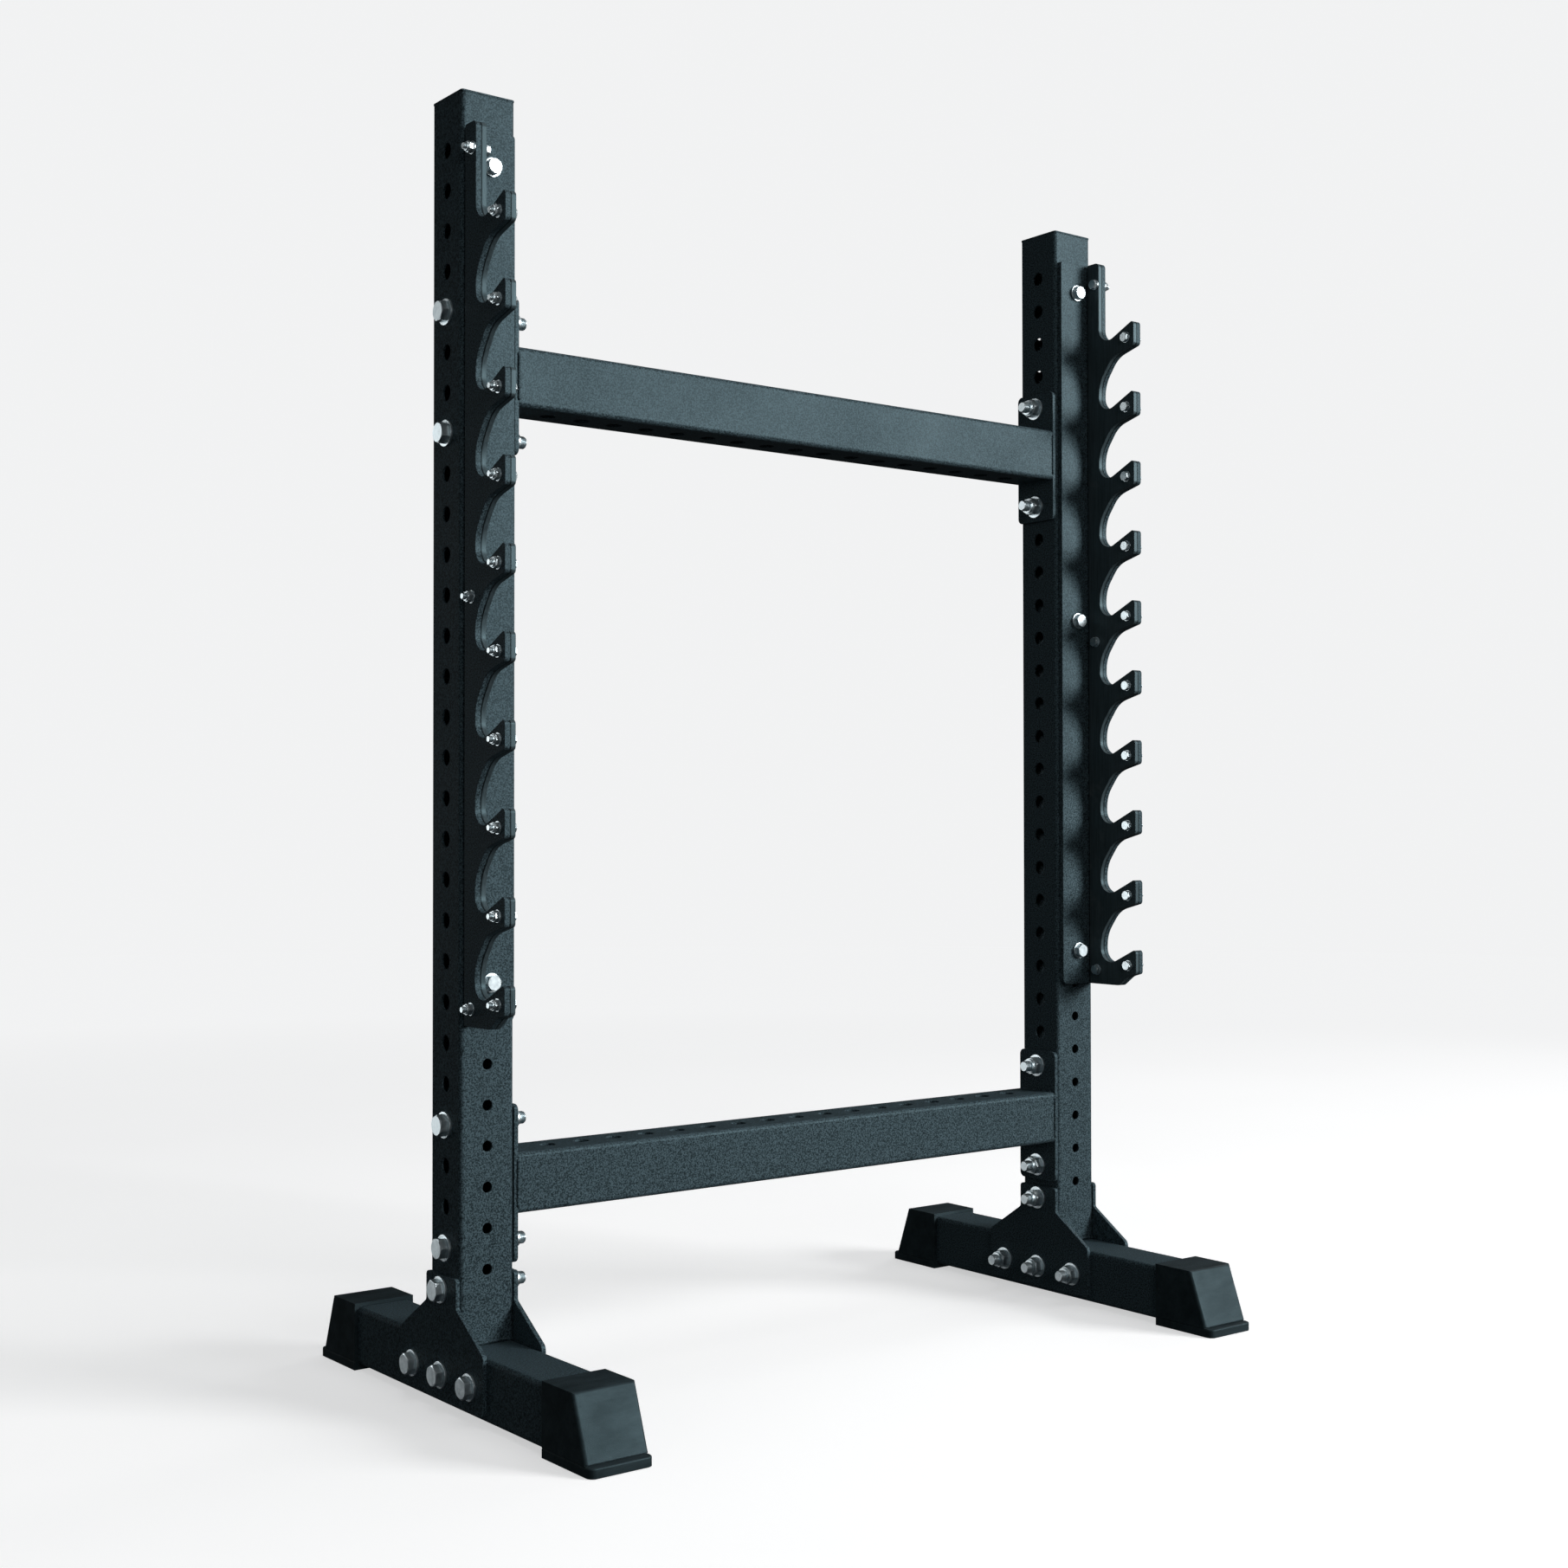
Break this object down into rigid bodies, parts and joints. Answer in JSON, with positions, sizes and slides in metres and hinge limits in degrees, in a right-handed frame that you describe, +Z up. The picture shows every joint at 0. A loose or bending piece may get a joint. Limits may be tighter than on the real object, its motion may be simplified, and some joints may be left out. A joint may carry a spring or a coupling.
{
  "type": "upright bar storage rack",
  "caption": "Free-standing steel rack that stores bars one above another on two facing combs of lined hooks.",
  "frame": {"origin": "middle of the footprint, on the floor", "axes": "+X along the crossmembers to the right, -Y the side the hooks reach out to, +Z up"},
  "size_m": [1.128, 0.68, 1.616],
  "materials": {
    "powder_coat": "fine-textured black powder coat",
    "liner_plastic": "cut sheet, matte black",
    "moulded_plastic": "fine-grained moulding, black",
    "plated_steel": "bright zinc plating"
  },
  "bodies": {
    "root": {"front_left_boot": "moulded_plastic", "front_right_boot": "moulded_plastic", "left_crossmember_bolts": "plated_steel", "left_crossmember_nuts": "plated_steel", "left_crossmember_washers": "plated_steel", "left_foot_bolts": "plated_steel", "left_foot_nuts": "plated_steel", "left_foot_tube": "powder_coat", "left_foot_washers": "plated_steel", "left_holder_bracket": "powder_coat", "left_holder_liner": "liner_plastic", "left_holder_mount_bolts": "plated_steel", "left_holder_mount_nuts": "plated_steel", "left_holder_mount_washers": "plated_steel", "left_inner_gusset": "powder_coat", "left_liner_bolts": "plated_steel", "left_liner_nuts": "plated_steel", "left_liner_washers": "plated_steel", "left_outer_gusset": "powder_coat", "left_upright": "powder_coat", "left_upright_base_plate": "powder_coat", "left_upright_cap": "powder_coat", "lower_crossmember": "powder_coat", "lower_left_flange_plate": "powder_coat", "lower_right_flange_plate": "powder_coat", "rear_left_boot": "moulded_plastic", "rear_right_boot": "moulded_plastic", "right_crossmember_bolts": "plated_steel", "right_crossmember_nuts": "plated_steel", "right_crossmember_washers": "plated_steel", "right_foot_bolts": "plated_steel", "right_foot_nuts": "plated_steel", "right_foot_tube": "powder_coat", "right_foot_washers": "plated_steel", "right_holder_bracket": "powder_coat", "right_holder_liner": "liner_plastic", "right_holder_mount_bolts": "plated_steel", "right_holder_mount_nuts": "plated_steel", "right_holder_mount_washers": "plated_steel", "right_inner_gusset": "powder_coat", "right_liner_bolts": "plated_steel", "right_liner_nuts": "plated_steel", "right_liner_washers": "plated_steel", "right_outer_gusset": "powder_coat", "right_upright": "powder_coat", "right_upright_base_plate": "powder_coat", "right_upright_cap": "powder_coat", "upper_crossmember": "powder_coat", "upper_left_flange_plate": "powder_coat", "upper_right_flange_plate": "powder_coat"}
  },
  "joints": []
}
